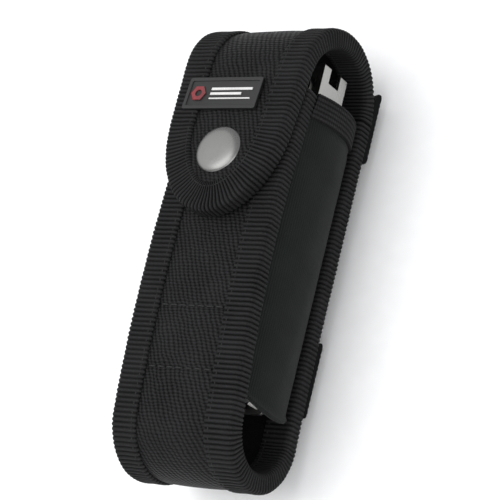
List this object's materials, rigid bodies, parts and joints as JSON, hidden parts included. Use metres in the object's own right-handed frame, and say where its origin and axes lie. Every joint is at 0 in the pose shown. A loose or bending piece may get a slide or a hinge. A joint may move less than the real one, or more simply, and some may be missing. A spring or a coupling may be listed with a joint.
{
  "type": "multi tool",
  "caption": "Folding plier multi-tool in a closed black nylon belt sheath with bound edges, elastic sides, snap flap and rear belt loops.",
  "frame": {"origin": "on the ground under the middle of the sheath, which lies on its back on its belt loops", "axes": "+X across the width, +Y from the bottom fold to the flap end, +Z out of the front panel"},
  "size_m": [0.0458, 0.1394, 0.0526],
  "materials": {
    "ballistic_nylon": "coated ballistic nylon, twill-like weave",
    "foam": "closed-cell foam core",
    "lining_nylon": "thin plain-weave lining",
    "grosgrain_tape": "ribbed grosgrain tape",
    "webbing": "flat nylon webbing",
    "elastic_knit": "fine elastic knit, slightly bluish black",
    "thread": "bonded nylon thread",
    "rubber": "moulded rubber, satin",
    "emblem_print": "raised light grey",
    "snap_steel": "satin nickel-plated",
    "handle_steel": "satin stainless steel",
    "screw_steel": "satin steel",
    "grip_aluminium": "black anodised",
    "head_steel": "bead-blasted steel, darker",
    "blade_steel": "ground stainless steel"
  },
  "bodies": {
    "sheath": {"belt_loop_lower": "webbing", "belt_loop_upper": "webbing", "belt_strap": "webbing", "crown_binding_left": "grosgrain_tape", "crown_binding_right": "grosgrain_tape", "crown_face": "ballistic_nylon", "crown_foam": "foam", "crown_lining": "lining_nylon", "front_stitching": "thread", "gusset_hem_left": "grosgrain_tape", "gusset_hem_right": "grosgrain_tape", "gusset_left": "elastic_knit", "gusset_right": "elastic_knit", "shell_binding_left": "grosgrain_tape", "shell_binding_right": "grosgrain_tape", "shell_binding_top": "grosgrain_tape", "shell_face": "ballistic_nylon", "shell_foam": "foam", "shell_lining": "lining_nylon", "snap_rivet": "snap_steel", "snap_stud": "snap_steel"},
    "flap": {"badge": "rubber", "badge_emblem": "emblem_print", "flap_binding": "grosgrain_tape", "flap_face": "ballistic_nylon", "flap_foam": "foam", "flap_lining": "lining_nylon", "snap_cap": "snap_steel", "snap_socket": "snap_steel"},
    "head": {"jaw_a": "head_steel", "jaw_rivet": "head_steel"},
    "second_jaw": {"jaw_b": "head_steel"},
    "left_handle": {"handle_left": "handle_steel", "scale_left_front": "grip_aluminium", "scale_left_back": "grip_aluminium", "scale_screws_left": "screw_steel", "head_pin_left": "screw_steel", "implement_pin_left": "screw_steel", "backspring_left": "screw_steel", "washers_left": "screw_steel"},
    "right_handle": {"handle_right": "handle_steel", "scale_right_front": "grip_aluminium", "scale_right_back": "grip_aluminium", "scale_screws_right": "screw_steel", "head_pin_right": "screw_steel", "implement_pin_right": "screw_steel", "backspring_right": "screw_steel", "washers_right": "screw_steel"},
    "knife": {"knife_blade": "blade_steel"},
    "serrated_knife": {"serrated_blade": "blade_steel"},
    "large_driver": {"wide_driver": "blade_steel"},
    "tin_opener": {"can_opener": "blade_steel"},
    "saw": {"saw_blade": "blade_steel"},
    "file": {"file_blade": "blade_steel"},
    "phillips_driver": {"cross_driver": "blade_steel"},
    "cap_lifter": {"bottle_opener": "blade_steel"}
  },
  "joints": [
    {"name": "flap_open", "type": "hinge", "parent": "sheath", "child": "flap", "pos_m": [0, 0.06975, 0.02717], "axis": [-1, 0, 0], "range_deg": [0, 110]},
    {"name": "tool_draw", "type": "slide", "parent": "sheath", "child": "head", "axis": [0, 1, 0], "range_m": [0, 0.11], "deforming": ["gusset_left", "gusset_right", "gusset_hem_left", "gusset_hem_right", "crown_face", "crown_foam", "crown_lining", "crown_binding_left", "crown_binding_right", "flap_face", "flap_foam", "flap_lining", "flap_binding"]},
    {"name": "jaw_open", "type": "hinge", "parent": "head", "child": "second_jaw", "pos_m": [0, 0.036, 0.0263], "axis": [0, 0, -1], "range_deg": [0, 28]},
    {"name": "left_handle_fold", "type": "hinge", "parent": "head", "child": "left_handle", "pos_m": [-0.0105, 0.051, 0.0263], "axis": [0, 0, -1], "range_deg": [0, 180]},
    {"name": "right_handle_fold", "type": "hinge", "parent": "second_jaw", "child": "right_handle", "pos_m": [0.0105, 0.051, 0.0263], "axis": [0, 0, 1], "range_deg": [0, 180]},
    {"name": "knife_fold", "type": "hinge", "parent": "left_handle", "child": "knife", "pos_m": [-0.0105, -0.041, 0.0263], "axis": [0, 0, 1], "range_deg": [0, 150]},
    {"name": "serrated_knife_fold", "type": "hinge", "parent": "left_handle", "child": "serrated_knife", "pos_m": [-0.0105, -0.041, 0.0263], "axis": [0, 0, 1], "range_deg": [0, 135]},
    {"name": "large_driver_fold", "type": "hinge", "parent": "left_handle", "child": "large_driver", "pos_m": [-0.0105, -0.041, 0.0263], "axis": [0, 0, -1], "range_deg": [0, 62]},
    {"name": "tin_opener_fold", "type": "hinge", "parent": "left_handle", "child": "tin_opener", "pos_m": [-0.0105, -0.041, 0.0263], "axis": [0, 0, -1], "range_deg": [0, 36]},
    {"name": "saw_fold", "type": "hinge", "parent": "right_handle", "child": "saw", "pos_m": [0.0105, -0.041, 0.0263], "axis": [0, 0, -1], "range_deg": [0, 150]},
    {"name": "file_fold", "type": "hinge", "parent": "right_handle", "child": "file", "pos_m": [0.0105, -0.041, 0.0263], "axis": [0, 0, -1], "range_deg": [0, 145]},
    {"name": "phillips_driver_fold", "type": "hinge", "parent": "right_handle", "child": "phillips_driver", "pos_m": [0.0105, -0.041, 0.0263], "axis": [0, 0, 1], "range_deg": [0, 62]},
    {"name": "cap_lifter_fold", "type": "hinge", "parent": "right_handle", "child": "cap_lifter", "pos_m": [0.0105, -0.041, 0.0263], "axis": [0, 0, 1], "range_deg": [0, 36]}
  ],
  "couplings": [
    {"joint": "jaw_open", "follows": "tool_draw", "rad_per_m": 4.4426},
    {"joint": "left_handle_fold", "follows": "tool_draw", "rad_per_m": 28.56},
    {"joint": "right_handle_fold", "follows": "tool_draw", "rad_per_m": 28.56},
    {"joint": "knife_fold", "follows": "tool_draw", "rad_per_m": 23.8},
    {"joint": "serrated_knife_fold", "follows": "tool_draw", "rad_per_m": 21.42},
    {"joint": "large_driver_fold", "follows": "tool_draw", "rad_per_m": 9.8373},
    {"joint": "tin_opener_fold", "follows": "tool_draw", "rad_per_m": 5.7119},
    {"joint": "saw_fold", "follows": "tool_draw", "rad_per_m": 23.8},
    {"joint": "file_fold", "follows": "tool_draw", "rad_per_m": 23.007},
    {"joint": "phillips_driver_fold", "follows": "tool_draw", "rad_per_m": 9.8373},
    {"joint": "cap_lifter_fold", "follows": "tool_draw", "rad_per_m": 5.7119}
  ]
}
